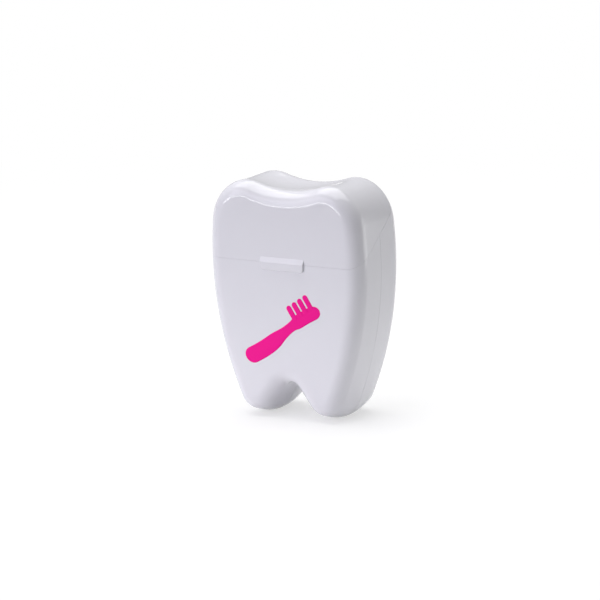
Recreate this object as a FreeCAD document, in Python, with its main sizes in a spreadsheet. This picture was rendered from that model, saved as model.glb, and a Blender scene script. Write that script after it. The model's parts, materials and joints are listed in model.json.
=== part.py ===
import math
import os
import re

import FreeCAD
import Part
import Sketcher

Vector = FreeCAD.Vector
Rotation = FreeCAD.Rotation
Constraint = Sketcher.Constraint

doc = FreeCAD.newDocument("tooth_floss_dispenser")
sheet = doc.addObject("Spreadsheet::Sheet", "Dimensions")

# Driving sizes in millimetres and degrees. X is the width, Y the depth from front to rear, Z the height.
sizes = {
    # tooth outline seen from the front
    "body_height": "56.1",
    "body_width": "41.5",
    "body_depth": "19.5",
    "rim_fillet": "3.8",
    "wall": "1.5",
    "shoulder_radius": "10.7",
    "shoulder_step": "0.4",
    "cusp_offset": "=body_width / 2 - shoulder_step - shoulder_radius",
    "split_angle": "36",
    "root_offset": "9.15",
    "root_radius": "4.75",
    "root_lift": "2.65",
    "notch_share": "0.15",
    "notch_height": "=body_height * notch_share",
    "notch_radius": "2.85",
    "notch_lift": "0.2",
    # groove at the front and rear rims, and cusps and groove over the dished middle of the crown
    "rim_dip": "1.5",
    "fossa_cusp_radius": "7",
    "fossa_dip": "2.6",
    # hinge line
    "hinge_setback": "1.3",
    "hinge_drop": "7.5",
    "hinge_depth": "=body_depth / 2 - hinge_setback",
    "hinge_height": "=body_height - hinge_drop",
    # parting between case and lid: from the lid line at the front up to a knee in front of the hinge
    "lid_share": "0.335",
    "lid_depth": "=body_height * lid_share",
    "knee_setback": "2.68",
    "lid_gap": "0.06",
    "lid_line_height": "=body_height - lid_depth",
    "tilt_slope": "=(hinge_height - lid_line_height) / (body_depth - knee_setback)",
    "tilt_cos": "=1 / sqrt(1 + tilt_slope ^ 2)",
    "tilt_sin": "=tilt_slope * tilt_cos",
    "lid_tilt": "=atan(tilt_slope) / (1 deg)",
    # knuckles, pin and the room that they turn in
    "knuckle_radius": "1.25",
    "knuckle_gap": "0.15",
    "lid_knuckle_width": "9",
    "hinge_margin": "5.75",
    "hinge_span": "=body_width - 2 * hinge_margin",
    "hinge_relief": "2.3",
    "relief_margin": "2.45",
    "relief_width": "=body_width - 2 * relief_margin",
    "cheek_overlap": "0.3",
    "cheek_depth": "=hinge_depth - cheek_overlap",
    "rail_depth": "4.4",
    "rail_height": "3.4",
    "web_depth": "1.8",
    "web_root": "0.3",
    "pin_radius": "0.6",
    "pin_press": "0.01",
    "pin_running": "0.06",
    "pin_setback": "0.5",
    "pin_length": "=hinge_span - 2 * pin_setback",
    # seam between the two shells
    "seam_gap": "0.06",
    "tongue_inset": "0.85",
    "groove_inset": "0.7",
    "tongue_reach": "1.2",
    "tongue_root": "1",
    "tongue_tip_gap": "0.15",
    # press pegs that hold the shells together
    "boss_radius": "2",
    "peg_radius": "1",
    "peg_reach": "4",
    "peg_fit": "0.02",
    "peg_tip_gap": "0.4",
    "boss_root": "0.5",
    "peg_margin": "1.35",
    "peg_drop": "4.1",
    "peg_rise": "1.2",
    "upper_peg_offset": "=body_width / 2 - wall - boss_radius - peg_margin",
    "upper_peg_height": "=lid_line_height - peg_drop",
    "lower_peg_offset": "=root_offset",
    "lower_peg_height": "=root_radius + root_lift + peg_rise",
    # cutter tray under the lid
    "tray_clearance": "0.3",
    "tray_depth": "-2",
    "tray_height": "=lid_line_height + (tray_depth + body_depth / 2) * tilt_slope",
    "floor_drop": "0.3",
    "floor_thickness": "1.2",
    "collar_height": "2.2",
    "collar_wall": "1",
    "ledge_thickness": "1.2",
    "seat_gap": "0.05",
    "tray_rear_gap": "0.4",
    # bobbin between the notch and the tray, its spindle and the winding
    "bobbin_width": "11.5",
    "bobbin_clearance": "1.55",
    "notch_top": "=notch_height + notch_lift + wall",
    "tray_rise": "=(body_depth - bobbin_width) / 2 * tilt_slope",
    "tray_low": "=lid_line_height + tray_rise - (floor_drop + floor_thickness) / tilt_cos",
    "flange_radius": "=(tray_low - notch_top) / 2 - bobbin_clearance",
    "bobbin_height": "=(tray_low + notch_top) / 2",
    "flange_thickness": "1",
    "spindle_radius": "3",
    "spindle_fit": "0.08",
    "core_wall": "1.72",
    "core_radius": "=spindle_radius + spindle_fit + core_wall",
    "spindle_tip_radius": "2",
    "spindle_tip_reach": "1.9",
    "spindle_boss_radius": "4.4",
    "bobbin_end_gap": "0.35",
    "winding_share": "0.88",
    "winding_radius": "=flange_radius * winding_share",
    "winding_fit": "0.03",
    "winding_side_gap": "0.1",
    # floss path
    "strand_radius": "0.25",
    "strand_clearance": "0.2",
    "strand_orbit": "=winding_radius + strand_clearance + strand_radius",
    "strand_wrap": "35",
    "strand_lift": "3",
    "strand_bend": "2",
    "strand_end": "7.5",
    "exit_offset": "-5",
    "exit_radius": "1.3",
    "exit_wall": "0.9",
    "exit_rise": "1.2",
    "exit_drop": "0.4",
    # steel cutter
    "cutter_offset": "2.6",
    "cutter_gauge": "0.35",
    "cutter_base": "5.6",
    "cutter_width": "6.4",
    "cutter_rise": "4",
    "slot_width": "0.8",
    "slot_mouth": "2.6",
    "stake_radius": "0.8",
    "stake_fit": "0.08",
    "stake_spread": "1.9",
    "stake_offset": "3.4",
    "stake_height": "0.9",
    # thumb lip on the lid, which hangs in front of the front shell
    "lip_width": "11.6",
    "lip_drop": "1.75",
    "lip_proud": "0.5",
    "lip_rise": "1.3",
    "lip_slope": "1.2",
    "lip_root": "0.5",
    "lip_corner": "0.8",
    "lip_edge": "0.3",
    "lip_gap": "0.06",
}
for row, (name, text) in enumerate(sizes.items(), start=1):
    sheet.set(f"A{row}", name)
    sheet.set(f"B{row}", text)
    sheet.setAlias(f"B{row}", name)
doc.recompute()


def cells(text):
    # The same formula with every size name pointing at its cell.
    return re.sub(r"[a-z_]+", lambda m: "Dimensions." + m[0] if m[0] in sizes else m[0], text)


def number(text):
    return float(sheet.evalExpression(cells(text)))


def bind(item, target, text):
    item.setExpression(target, cells(text))


def origin_plane(body, role):
    return next(item for item in body.Origin.OriginFeatures if item.Role == role)


def new_body(name):
    return doc.addObject("PartDesign::Body", name)


def new_sketch(body, name, role, shift="0"):
    sketch = body.newObject("Sketcher::SketchObject", name)
    sketch.AttachmentSupport = (origin_plane(body, role), [""])
    sketch.MapMode = "FlatFace"
    if shift != "0":
        bind(sketch, "AttachmentOffset.Base.z", shift)
    return sketch


def drive(sketch, constraint, text):
    index = sketch.addConstraint(constraint)
    bind(sketch, f"Constraints[{index}]", text)


def pin_point(sketch, item, end, across, up):
    # Ties one sketch point to formulas for its two coordinates.
    if across == "0":
        sketch.addConstraint(Constraint("PointOnObject", item, end, -2))
    else:
        drive(sketch, Constraint("DistanceX", -1, 1, item, end, number(across)), across)
    if up == "0":
        sketch.addConstraint(Constraint("PointOnObject", item, end, -1))
    else:
        drive(sketch, Constraint("DistanceY", -1, 1, item, end, number(up)), up)


def polygon(sketch, corners):
    points = [Vector(number(across), number(up), 0) for across, up in corners]
    lines = []
    for here, there in zip(points, points[1:] + points[:1]):
        lines.append(sketch.addGeometry(Part.LineSegment(here, there), False))
    for line, following in zip(lines, lines[1:] + lines[:1]):
        sketch.addConstraint(Constraint("Coincident", line, 2, following, 1))
    for line, (across, up) in zip(lines, corners):
        pin_point(sketch, line, 1, across, up)
    return lines


def circle(sketch, across, up, radius):
    centre = Vector(number(across), number(up), 0)
    item = sketch.addGeometry(Part.Circle(centre, Vector(0, 0, 1), number(radius)), False)
    pin_point(sketch, item, 3, across, up)
    drive(sketch, Constraint("Radius", item, number(radius)), radius)


def pad(body, sketch, name, length, both_ways=True):
    feature = body.newObject("PartDesign::Pad", name)
    feature.Profile = (sketch, [""])
    feature.Midplane = both_ways
    bind(feature, "Length", length)
    body.Tip = feature
    doc.recompute()
    return feature


def through_pocket(body, sketch, name):
    feature = body.newObject("PartDesign::Pocket", name)
    feature.Profile = (sketch, [""])
    feature.Midplane = True
    feature.Type = "ThroughAll"
    body.Tip = feature
    doc.recompute()
    return feature


def soften(body, base, name, chosen, kind, target, amount):
    feature = body.newObject("PartDesign::" + kind, name)
    picked = [f"Edge{i}" for i, edge in enumerate(base.Shape.Edges, start=1) if chosen(edge)]
    feature.Base = (base, picked)
    bind(feature, target, amount)
    body.Tip = feature
    doc.recompute()
    return feature


def round_edges(body, base, name, radius, chosen):
    return soften(body, base, name, chosen, "Fillet", "Radius", radius)


def bevel_edges(body, base, name, leg, chosen):
    return soften(body, base, name, chosen, "Chamfer", "Size", leg)


def block(name, low, span):
    # An upright box from its low corner and its three lengths.
    item = doc.addObject("Part::Box", name)
    for target, text in zip(("Length", "Width", "Height"), span):
        bind(item, target, text)
    for target, text in zip("xyz", low):
        bind(item, "Placement.Base." + target, text)
    return item


def rod(name, turn, start, radius, length):
    item = doc.addObject("Part::Cylinder", name)
    item.Placement = FreeCAD.Placement(Vector(), turn)
    bind(item, "Radius", radius)
    bind(item, "Height", length)
    for target, text in zip("xyz", start):
        bind(item, "Placement.Base." + target, text)
    return item


def fuse(name, items):
    item = doc.addObject("Part::MultiFuse", name)
    item.Shapes = items
    item.Refine = True
    return item


def cut(name, base, tool):
    item = doc.addObject("Part::Cut", name)
    item.Base = base
    item.Tool = tool
    item.Refine = True
    return item


def common(name, items):
    item = doc.addObject("Part::MultiCommon", name)
    item.Shapes = items
    item.Refine = True
    return item


along_depth = Rotation(Vector(1, 0, 0), -90)
along_width = Rotation(Vector(0, 1, 0), 90)
upright = Rotation()


def tilted(item, across="0", along="0", above="0"):
    # Places an item in the frame of the tilted parting plane.
    item.Placement = FreeCAD.Placement(Vector(), Rotation(Vector(1, 0, 0), number("lid_tilt")))
    bind(item, "Placement.Base.x", across)
    bind(item, "Placement.Base.y", f"tray_depth + ({along}) * tilt_cos - ({above}) * tilt_sin")
    bind(item, "Placement.Base.z", f"tray_height + ({along}) * tilt_sin + ({above}) * tilt_cos")
    bind(item, "Placement.Rotation.Angle", "lid_tilt * 1 deg")
    return item


def tilted_slab(name, below, thickness):
    # A broad slab parallel to the parting plane.
    item = doc.addObject("Part::Box", name)
    bind(item, "Length", "2 * body_width")
    bind(item, "Width", "4 * body_depth")
    bind(item, "Height", thickness)
    return tilted(item, "-body_width", "-2 * body_depth", below)


# Tooth outline: tangent arcs for notch, root, flank, shoulder, cusp and groove, on one half of the width.


def outline_arcs(inset, form):
    cusp_radius = number(form["cusp"])
    dip = number(form["dip"])
    half = number("body_width") / 2
    top = number("body_height")
    shoulder_radius = number("shoulder_radius")
    root_radius = number("root_radius")
    notch_radius = number("notch_radius")
    split = math.radians(number("split_angle"))
    shoulder = (number("cusp_offset"), top - shoulder_radius)
    root = (number("root_offset"), root_radius + number(form["root_lift"]))
    notch = (0.0, number("notch_height") + number(form["notch_lift"]) - notch_radius)
    # The flank arc touches the shoulder and root circles from outside and the width line.
    near_shoulder = half - shoulder[0] - shoulder_radius
    far_shoulder = half - shoulder[0] + shoulder_radius
    near_root = half - root[0] - root_radius
    far_root = half - root[0] + root_radius
    low, high = max(far_shoulder, far_root), 100 * half
    for _ in range(80):
        middle = (low + high) / 2
        upper = math.sqrt(near_shoulder * (middle - far_shoulder))
        lower = math.sqrt(near_root * (middle - far_root))
        if upper + lower > shoulder[1] - root[1]:
            high = middle
        else:
            low = middle
    flank_radius = high / 2
    flank = (half - flank_radius, shoulder[1] - math.sqrt(near_shoulder * (high - far_shoulder)))
    cusp = (
        shoulder[0] + (shoulder_radius - cusp_radius) * math.sin(split),
        shoulder[1] + (shoulder_radius - cusp_radius) * math.cos(split),
    )
    rise = top - dip - cusp[1]
    groove_radius = (cusp[0] ** 2 + rise**2 - cusp_radius**2) / (2 * (cusp_radius - rise))
    groove = (0.0, top - dip + groove_radius)
    # The straight run beside the notch is the inner tangent of the notch and root circles.
    across, up = root[0] - notch[0], root[1] - notch[1]
    run = math.atan2(up, across) + math.acos((notch_radius + root_radius) / math.hypot(across, up))
    to_root = math.atan2(root[1] - flank[1], root[0] - flank[0])
    to_shoulder = math.atan2(shoulder[1] - flank[1], shoulder[0] - flank[0])
    to_groove = math.atan2(groove[1] - cusp[1], groove[0] - cusp[0])
    return {
        "notch": (notch, notch_radius + inset, run, math.pi / 2),
        "root": (root, root_radius - inset, run + math.pi, to_root + 2 * math.pi),
        "flank": (flank, flank_radius - inset, to_root, to_shoulder),
        "shoulder": (shoulder, shoulder_radius - inset, to_shoulder, math.pi / 2 - split),
        "cusp": (cusp, cusp_radius - inset, math.pi / 2 - split, to_groove),
        "groove": (groove, groove_radius + inset, -math.pi / 2, to_groove - math.pi),
    }


def half_outline(body, name, shift, inset, form):
    sketch = new_sketch(body, name, "XZ_Plane", shift)
    arcs = outline_arcs(number(inset), form)
    item = {}
    ends = {}
    for part, (centre, radius, start, stop) in arcs.items():
        ring = Part.Circle(Vector(centre[0], centre[1], 0), Vector(0, 0, 1), radius)
        item[part] = sketch.addGeometry(Part.ArcOfCircle(ring, start, stop), False)
        ends[part] = [ring.value(angle) for angle in (start, stop)]
    straight = sketch.addGeometry(Part.LineSegment(ends["notch"][0], ends["root"][0]), False)
    middle = sketch.addGeometry(Part.LineSegment(ends["groove"][0], ends["notch"][1]), False)
    half = number("body_width") / 2 - number(inset)
    gauge_low, gauge_high = number("body_height") / 3, number("body_height") * 2 / 3
    gauge_line = Part.LineSegment(Vector(half, gauge_low, 0), Vector(half, gauge_high, 0))
    gauge = sketch.addGeometry(gauge_line, True)
    shoulder_centre = Vector(arcs["shoulder"][0][0], arcs["shoulder"][0][1], 0)
    spoke = sketch.addGeometry(Part.LineSegment(shoulder_centre, ends["shoulder"][1]), True)
    sketch.addConstraint(
        [
            Constraint("Tangent", item["notch"], 1, straight, 1),
            Constraint("Tangent", straight, 2, item["root"], 1),
            Constraint("Tangent", item["root"], 2, item["flank"], 1),
            Constraint("Tangent", item["flank"], 2, item["shoulder"], 1),
            Constraint("Tangent", item["shoulder"], 2, item["cusp"], 1),
            Constraint("Tangent", item["cusp"], 2, item["groove"], 2),
            Constraint("Coincident", item["groove"], 1, middle, 1),
            Constraint("Coincident", middle, 2, item["notch"], 2),
            Constraint("PointOnObject", item["notch"], 3, -2),
            Constraint("PointOnObject", item["notch"], 2, -2),
            Constraint("PointOnObject", item["groove"], 3, -2),
            Constraint("PointOnObject", item["groove"], 1, -2),
            Constraint("Vertical", gauge),
            Constraint("Tangent", gauge, item["flank"]),
            Constraint("Coincident", spoke, 1, item["shoulder"], 3),
            Constraint("Coincident", spoke, 2, item["shoulder"], 2),
        ]
    )
    radii = {
        "notch": f"notch_radius + ({inset})",
        "root": f"root_radius - ({inset})",
        "shoulder": f"shoulder_radius - ({inset})",
        "cusp": f"{form['cusp']} - ({inset})",
    }
    for part, text in radii.items():
        drive(sketch, Constraint("Radius", item[part], arcs[part][1]), text)
    drive(sketch, Constraint("DistanceY", -1, 1, gauge, 1, gauge_low), "body_height / 3")
    drive(sketch, Constraint("DistanceY", -1, 1, gauge, 2, gauge_high), "body_height * 2 / 3")
    pin_point(sketch, item["root"], 3, "root_offset", f"root_radius + {form['root_lift']}")
    pin_point(sketch, item["shoulder"], 3, "cusp_offset", "body_height - shoulder_radius")
    heights = {
        ("notch", 2): f"notch_height + {form['notch_lift']} + ({inset})",
        ("groove", 1): f"body_height - {form['dip']} - ({inset})",
    }
    for (part, end), text in heights.items():
        drive(sketch, Constraint("DistanceY", -1, 1, item[part], end, number(text)), text)
    drive(sketch, Constraint("DistanceX", -1, 1, gauge, 1, half), f"body_width / 2 - ({inset})")
    split = -math.radians(number("split_angle"))
    drive(sketch, Constraint("Angle", -2, 1, spoke, 1, split), "-split_angle * 1 deg")
    return sketch


rim_form = {"cusp": "shoulder_radius", "dip": "rim_dip", "root_lift": "root_lift", "notch_lift": "notch_lift"}
middle_form = {"cusp": "fossa_cusp_radius", "dip": "fossa_dip", "root_lift": "0", "notch_lift": "0"}
inside_form = {**middle_form, "root_lift": "root_lift", "notch_lift": "notch_lift"}


def both_halves(body, feature, name):
    mirror = body.newObject("PartDesign::Mirrored", name)
    mirror.Originals = [feature]
    mirror.MirrorPlane = (origin_plane(body, "YZ_Plane"), [""])
    body.Tip = mirror
    doc.recompute()
    return mirror


def on_face(depth):
    # Picks the edges that lie in the front and rear faces of a form.
    def chosen(edge):
        return min(abs(point.y) for point in edge.discretize(5)) > depth - 1e-4

    return chosen


def inset_form(name, inset):
    # The tooth outline drawn in by an even amount and padded, for hollows and rims that follow the walls.
    # Its bevelled rims touch the round that would keep the wall even.
    body = new_body(name)
    sketch = half_outline(body, name + "_outline", "0", inset, inside_form)
    feature = pad(body, sketch, name + "_pad", f"body_depth - 2 * ({inset})")
    mirror = both_halves(body, feature, name + "_halves")
    depth = number(f"body_depth / 2 - ({inset})")
    leg = f"(2 - sqrt(2)) * (rim_fillet - ({inset}))"
    bevel_edges(body, mirror, name + "_rims", leg, on_face(depth))
    return body


# Outer tooth: the rim outlines front and rear, the dished crown between them, rounded rims.

outer = new_body("outer_form")
front_rim = half_outline(outer, "front_rim", "body_depth / 2", "0", rim_form)
crown = half_outline(outer, "crown", "0", "0", middle_form)
rear_rim = half_outline(outer, "rear_rim", "-body_depth / 2", "0", rim_form)
skin = outer.newObject("PartDesign::AdditiveLoft", "tooth_half")
skin.Profile = (front_rim, [""])
skin.Sections = [(crown, [""]), (rear_rim, [""])]
outer.Tip = skin
doc.recompute()
tooth = both_halves(outer, skin, "tooth_halves")
round_edges(outer, tooth, "tooth_rims", "rim_fillet", on_face(number("body_depth / 2")))

cavity = inset_form("cavity_form", "wall")
tongue_form = inset_form("tongue_form", "tongue_inset")
groove_form = inset_form("groove_form", "groove_inset")
tray_form = inset_form("tray_form", "wall + tray_clearance")
collar_form = inset_form("collar_form", "wall + tray_clearance + collar_wall")


# Parting: tilted from the lid line at the front, level from the hinge height to the rear.


def parting(name, raised):
    body = new_body(name)
    sketch = new_sketch(body, name + "_profile", "YZ_Plane")
    knee = "(hinge_height - lid_line_height) / tilt_slope - body_depth / 2"
    corners = [
        ("-body_depth", f"lid_line_height - body_depth / 2 * tilt_slope + {raised}"),
        (knee, f"hinge_height + {raised}"),
        ("body_depth", f"hinge_height + {raised}"),
        ("body_depth", "2 * body_height"),
        ("-body_depth", "2 * body_height"),
    ]
    polygon(sketch, corners)
    pad(body, sketch, name + "_pad", "2 * body_width")
    return body


above_case = parting("above_case", "0")
above_gap = parting("above_gap", "lid_gap")

# Hinge room: a solid rail on both sides of the parting, hollowed by a round relief about the hinge line.

rail = block(
    "hinge_rail",
    ("-body_width", "body_depth / 2 - rail_depth", "hinge_height - rail_height"),
    ("2 * body_width", "2 * rail_depth", "2 * rail_height"),
)
hollow = cut("hollow", cavity, rail)
relief_round = rod(
    "relief_round",
    along_width,
    ("-relief_width / 2", "hinge_depth", "hinge_height"),
    "hinge_relief",
    "relief_width",
)
relief_mouth = block(
    "relief_mouth",
    ("-body_width", "cheek_depth", "hinge_height - hinge_relief"),
    ("2 * body_width", "body_depth", "2 * hinge_relief"),
)
relief = fuse("hinge_room", [relief_round, relief_mouth])


def knuckle(name, start, width, low):
    # A barrel about the hinge line with a web to the rail above or below it.
    place = (start, "hinge_depth", "hinge_height")
    barrel = rod(name + "_barrel", along_width, place, "knuckle_radius", width)
    web = block(
        name + "_web",
        (start, "hinge_depth + knuckle_radius - web_depth", low),
        (width, "web_depth", "hinge_relief + web_root"),
    )
    return [barrel, web]


def hinge_bore(name, fit):
    return rod(
        name,
        along_width,
        ("-body_width", "hinge_depth", "hinge_height"),
        f"pin_radius + {fit}",
        "2 * body_width",
    )


# Case: outer tooth below the parting, hollowed, with a ledge for the tray.

below_parting = cut("below_parting", outer, above_case)
case_skin = cut("case_skin", below_parting, hollow)
ledge_slab = tilted_slab(
    "ledge_slab",
    "-floor_drop - floor_thickness - seat_gap - ledge_thickness",
    "ledge_thickness",
)
ledge_band = common("ledge_band", [cavity, ledge_slab])
ledge = cut("ledge", ledge_band, collar_form)
case_ledged = fuse("case_ledged", [case_skin, ledge])
front_room = block(
    "front_room",
    ("-body_width", "-body_depth", "-body_height"),
    ("2 * body_width", "body_depth - seam_gap / 2", "3 * body_height"),
)
rear_room = block(
    "rear_room",
    ("-body_width", "seam_gap / 2", "-body_height"),
    ("2 * body_width", "body_depth", "3 * body_height"),
)
front_half = common("front_half", [case_ledged, front_room])
rear_half = common("rear_half", [case_ledged, rear_room])

# Tongue along the seam edge of the front shell and the groove for it in the rear shell.

tongue_ring = cut("tongue_ring", tongue_form, cavity)
tongue_reach = block(
    "tongue_reach",
    ("-body_width", "-tongue_root", "-body_height"),
    ("2 * body_width", "tongue_root + tongue_reach", "3 * body_height"),
)
tongue_band = common("tongue_band", [tongue_ring, tongue_reach])
tongue = cut("tongue", tongue_band, above_case)
groove_ring = cut("groove_ring", groove_form, cavity)
groove_reach = block(
    "groove_reach",
    ("-body_width", "-tongue_root", "-body_height"),
    ("2 * body_width", "tongue_root + tongue_reach + tongue_tip_gap", "3 * body_height"),
)
groove = common("groove", [groove_ring, groove_reach])

# Press pegs: bosses on both shells, a peg on the front boss and a socket in the rear boss.

inside = "body_depth / 2 - wall + boss_root"
front_inside = f"-({inside})"
peg_places = {
    "upper_right": ("upper_peg_offset", "upper_peg_height"),
    "upper_left": ("-upper_peg_offset", "upper_peg_height"),
    "lower_right": ("lower_peg_offset", "lower_peg_height"),
    "lower_left": ("-lower_peg_offset", "lower_peg_height"),
}
front_bosses = []
rear_bosses = []
sockets = []
for place, (across, up) in peg_places.items():
    front_bosses.append(
        rod(
            place + "_front_boss",
            along_depth,
            (across, front_inside, up),
            "boss_radius",
            inside + " - seam_gap / 2",
        )
    )
    front_bosses.append(
        rod(
            place + "_peg",
            along_depth,
            (across, front_inside, up),
            "peg_radius",
            inside + " + peg_reach",
        )
    )
    rear_bosses.append(
        rod(
            place + "_rear_boss",
            along_depth,
            (across, "seam_gap / 2", up),
            "boss_radius",
            inside + " - seam_gap / 2",
        )
    )
    sockets.append(
        rod(
            place + "_socket",
            along_depth,
            (across, "-seam_gap", up),
            "peg_radius + peg_fit",
            "peg_reach + peg_tip_gap + seam_gap",
        )
    )

# Spindle on the rear shell and the cup for its tip in the front shell.

spindle_boss = rod(
    "spindle_boss",
    along_depth,
    ("0", "bobbin_width / 2 + bobbin_end_gap", "bobbin_height"),
    "spindle_boss_radius",
    inside + " - bobbin_width / 2 - bobbin_end_gap",
)
spindle = rod(
    "spindle",
    along_depth,
    ("0", "-bobbin_width / 2 - bobbin_end_gap / 2", "bobbin_height"),
    "spindle_radius",
    inside + " + bobbin_width / 2 + bobbin_end_gap / 2",
)
spindle_tip = rod(
    "spindle_tip",
    along_depth,
    ("0", "-bobbin_width / 2 - spindle_tip_reach", "bobbin_height"),
    "spindle_tip_radius",
    "bobbin_width / 2 + spindle_tip_reach",
)
cup_boss = rod(
    "cup_boss",
    along_depth,
    ("0", front_inside, "bobbin_height"),
    "spindle_boss_radius",
    inside + " - bobbin_width / 2 - bobbin_end_gap",
)
cup_bore = rod(
    "cup_bore",
    along_depth,
    ("0", "-bobbin_width / 2 - spindle_tip_reach - peg_tip_gap", "bobbin_height"),
    "spindle_tip_radius + spindle_fit",
    "spindle_tip_reach + peg_tip_gap",
)

front_whole = fuse("front_whole", [front_half, tongue, cup_boss] + front_bosses)
front_shell = cut("front_shell", front_whole, cup_bore)

rear_grooved = cut("rear_grooved", rear_half, groove)
rear_relieved = cut("rear_relieved", rear_grooved, relief)
side_knuckle = "(hinge_span - lid_knuckle_width) / 2 - knuckle_gap"
case_web_low = "hinge_height - hinge_relief - web_root"
right_knuckle = knuckle("right_knuckle", "lid_knuckle_width / 2 + knuckle_gap", side_knuckle, case_web_low)
left_knuckle = knuckle("left_knuckle", "-hinge_span / 2", side_knuckle, case_web_low)
rear_whole = fuse(
    "rear_whole",
    [rear_relieved, spindle_boss, spindle, spindle_tip] + rear_bosses + right_knuckle + left_knuckle,
)
rear_cuts = fuse("rear_cuts", sockets + [hinge_bore("case_hinge_bore", "pin_press")])
rear_shell = cut("rear_shell", rear_whole, rear_cuts)

# Lid: the crown above the parting, hollowed, with the centre knuckle and the thumb lip.

crown_solid = common("crown_solid", [outer, above_gap])
crown_skin = cut("crown_skin", crown_solid, hollow)
crown_relieved = cut("crown_relieved", crown_skin, relief)
centre_knuckle = knuckle("centre_knuckle", "-lid_knuckle_width / 2", "lid_knuckle_width", "hinge_height")

lip = new_body("thumb_lip")
lip_sketch = new_sketch(lip, "thumb_lip_profile", "YZ_Plane")
lip_root = "-body_depth / 2 + lip_root"
lip_back = "-body_depth / 2 - lip_gap"
lip_front = "-body_depth / 2 - lip_proud"
lip_top = "lid_line_height + lip_rise"
lip_bottom = "lid_line_height - lip_drop"
polygon(
    lip_sketch,
    [
        (lip_root, lip_top),
        ("-body_depth / 2", lip_top),
        (lip_front, lip_top + " - lip_slope"),
        (lip_front, lip_bottom),
        (lip_back, lip_bottom),
        (lip_back, "lid_line_height + 2 * lid_gap"),
        (lip_root, "lid_line_height + 2 * lid_gap + lip_root * tilt_slope"),
    ],
)
lip_pad = pad(lip, lip_sketch, "thumb_lip_pad", "lip_width")
low_level = number(lip_bottom) + 1e-3


def low_corner(edge):
    first, last = edge.Vertexes[0].Point, edge.Vertexes[-1].Point
    along_depth_only = abs(first.x - last.x) + abs(first.z - last.z) < 1e-6
    return along_depth_only and first.z < low_level


def front_outline(edge):
    # Edges of the lip's front face other than the one where its slope starts.
    points = edge.discretize(5)
    in_front = max(point.y for point in points) < number(lip_front) + 1e-4
    return in_front and min(point.z for point in points) < number(lip_top + " - lip_slope") - 1e-3


lip_round = round_edges(lip, lip_pad, "thumb_lip_corners", "lip_corner", low_corner)
round_edges(lip, lip_round, "thumb_lip_edges", "lip_edge", front_outline)
lid_whole = fuse("lid_whole", [crown_relieved, lip] + centre_knuckle)
flip_lid = cut("flip_lid", lid_whole, hinge_bore("lid_hinge_bore", "pin_running"))

# Hinge pin with bevelled ends.

pin = new_body("hinge_pin")
pin_sketch = new_sketch(pin, "hinge_pin_section", "YZ_Plane")
circle(pin_sketch, "hinge_depth", "hinge_height", "pin_radius")
pin_pad = pad(pin, pin_sketch, "hinge_pin_pad", "pin_length")
bevel_edges(pin, pin_pad, "hinge_pin_ends", "pin_radius / 3", lambda edge: len(edge.Vertexes) == 1)

# Cutter tray: floor, collar inside the lid, floss guide and two stakes for the cutter.

under_crown = "body_height - fossa_dip - wall - 2 * tray_clearance - collar_wall"
tray_limit = block(
    "tray_limit",
    ("-body_width", "-body_depth", "-body_height"),
    ("2 * body_width", "3 / 2 * body_depth - rail_depth - tray_rear_gap", f"body_height + {under_crown}"),
)
floor_slab = tilted_slab("floor_slab", "-floor_drop - floor_thickness", "floor_thickness")
tray_floor = common("tray_floor", [tray_form, floor_slab, tray_limit])
collar_slab = tilted_slab(
    "collar_slab",
    "-floor_drop - floor_thickness / 2",
    "floor_thickness / 2 + floor_drop + collar_height",
)
collar_ring = cut("collar_ring", tray_form, collar_form)
tray_collar = common("tray_collar", [collar_ring, collar_slab, tray_limit])
guide_place = ("exit_offset", "tray_depth", "tray_height - (floor_drop + floor_thickness / 2) / tilt_cos")
guide = rod(
    "floss_guide",
    upright,
    guide_place,
    "exit_radius + exit_wall",
    "(floor_drop + floor_thickness / 2) / tilt_cos + exit_rise",
)
guide_bore = rod(
    "floss_guide_bore",
    upright,
    ("exit_offset", "tray_depth", "tray_height - body_depth"),
    "exit_radius",
    "2 * body_depth",
)
cutter_along = "strand_lift * tilt_sin"
stakes = []
for place, along in {"rear": "stake_spread", "front": "-stake_spread"}.items():
    stake = doc.addObject("Part::Cylinder", place + "_stake")
    bind(stake, "Radius", "stake_radius")
    bind(stake, "Height", "floor_thickness / 2 + stake_height")
    tilted(
        stake,
        "cutter_offset + stake_offset",
        f"{cutter_along} + {along}",
        "-floor_drop - floor_thickness / 2",
    )
    stakes.append(stake)
tray_whole = fuse("tray_whole", [tray_floor, tray_collar, guide] + stakes)
cutter_tray = cut("cutter_tray", tray_whole, guide_bore)

# Steel cutter: a folded strip with a slot for the floss and a toothed upper edge.

cutter = new_body("cutter_blade")
fold_sketch = new_sketch(cutter, "cutter_fold", "XZ_Plane")
polygon(
    fold_sketch,
    [
        ("0", "0"),
        ("cutter_base", "0"),
        ("cutter_base", "cutter_gauge"),
        ("cutter_gauge", "cutter_gauge"),
        ("cutter_gauge", "cutter_rise"),
        ("0", "cutter_rise"),
    ],
)
fold = pad(cutter, fold_sketch, "cutter_strip", "cutter_width")


def fold_corner(across, up):
    def chosen(edge):
        first, last = edge.Vertexes[0].Point, edge.Vertexes[-1].Point
        level = abs(first.z - up) + abs(last.z - up)
        return abs(first.x - across) + abs(last.x - across) + level < 1e-6

    return chosen


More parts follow.
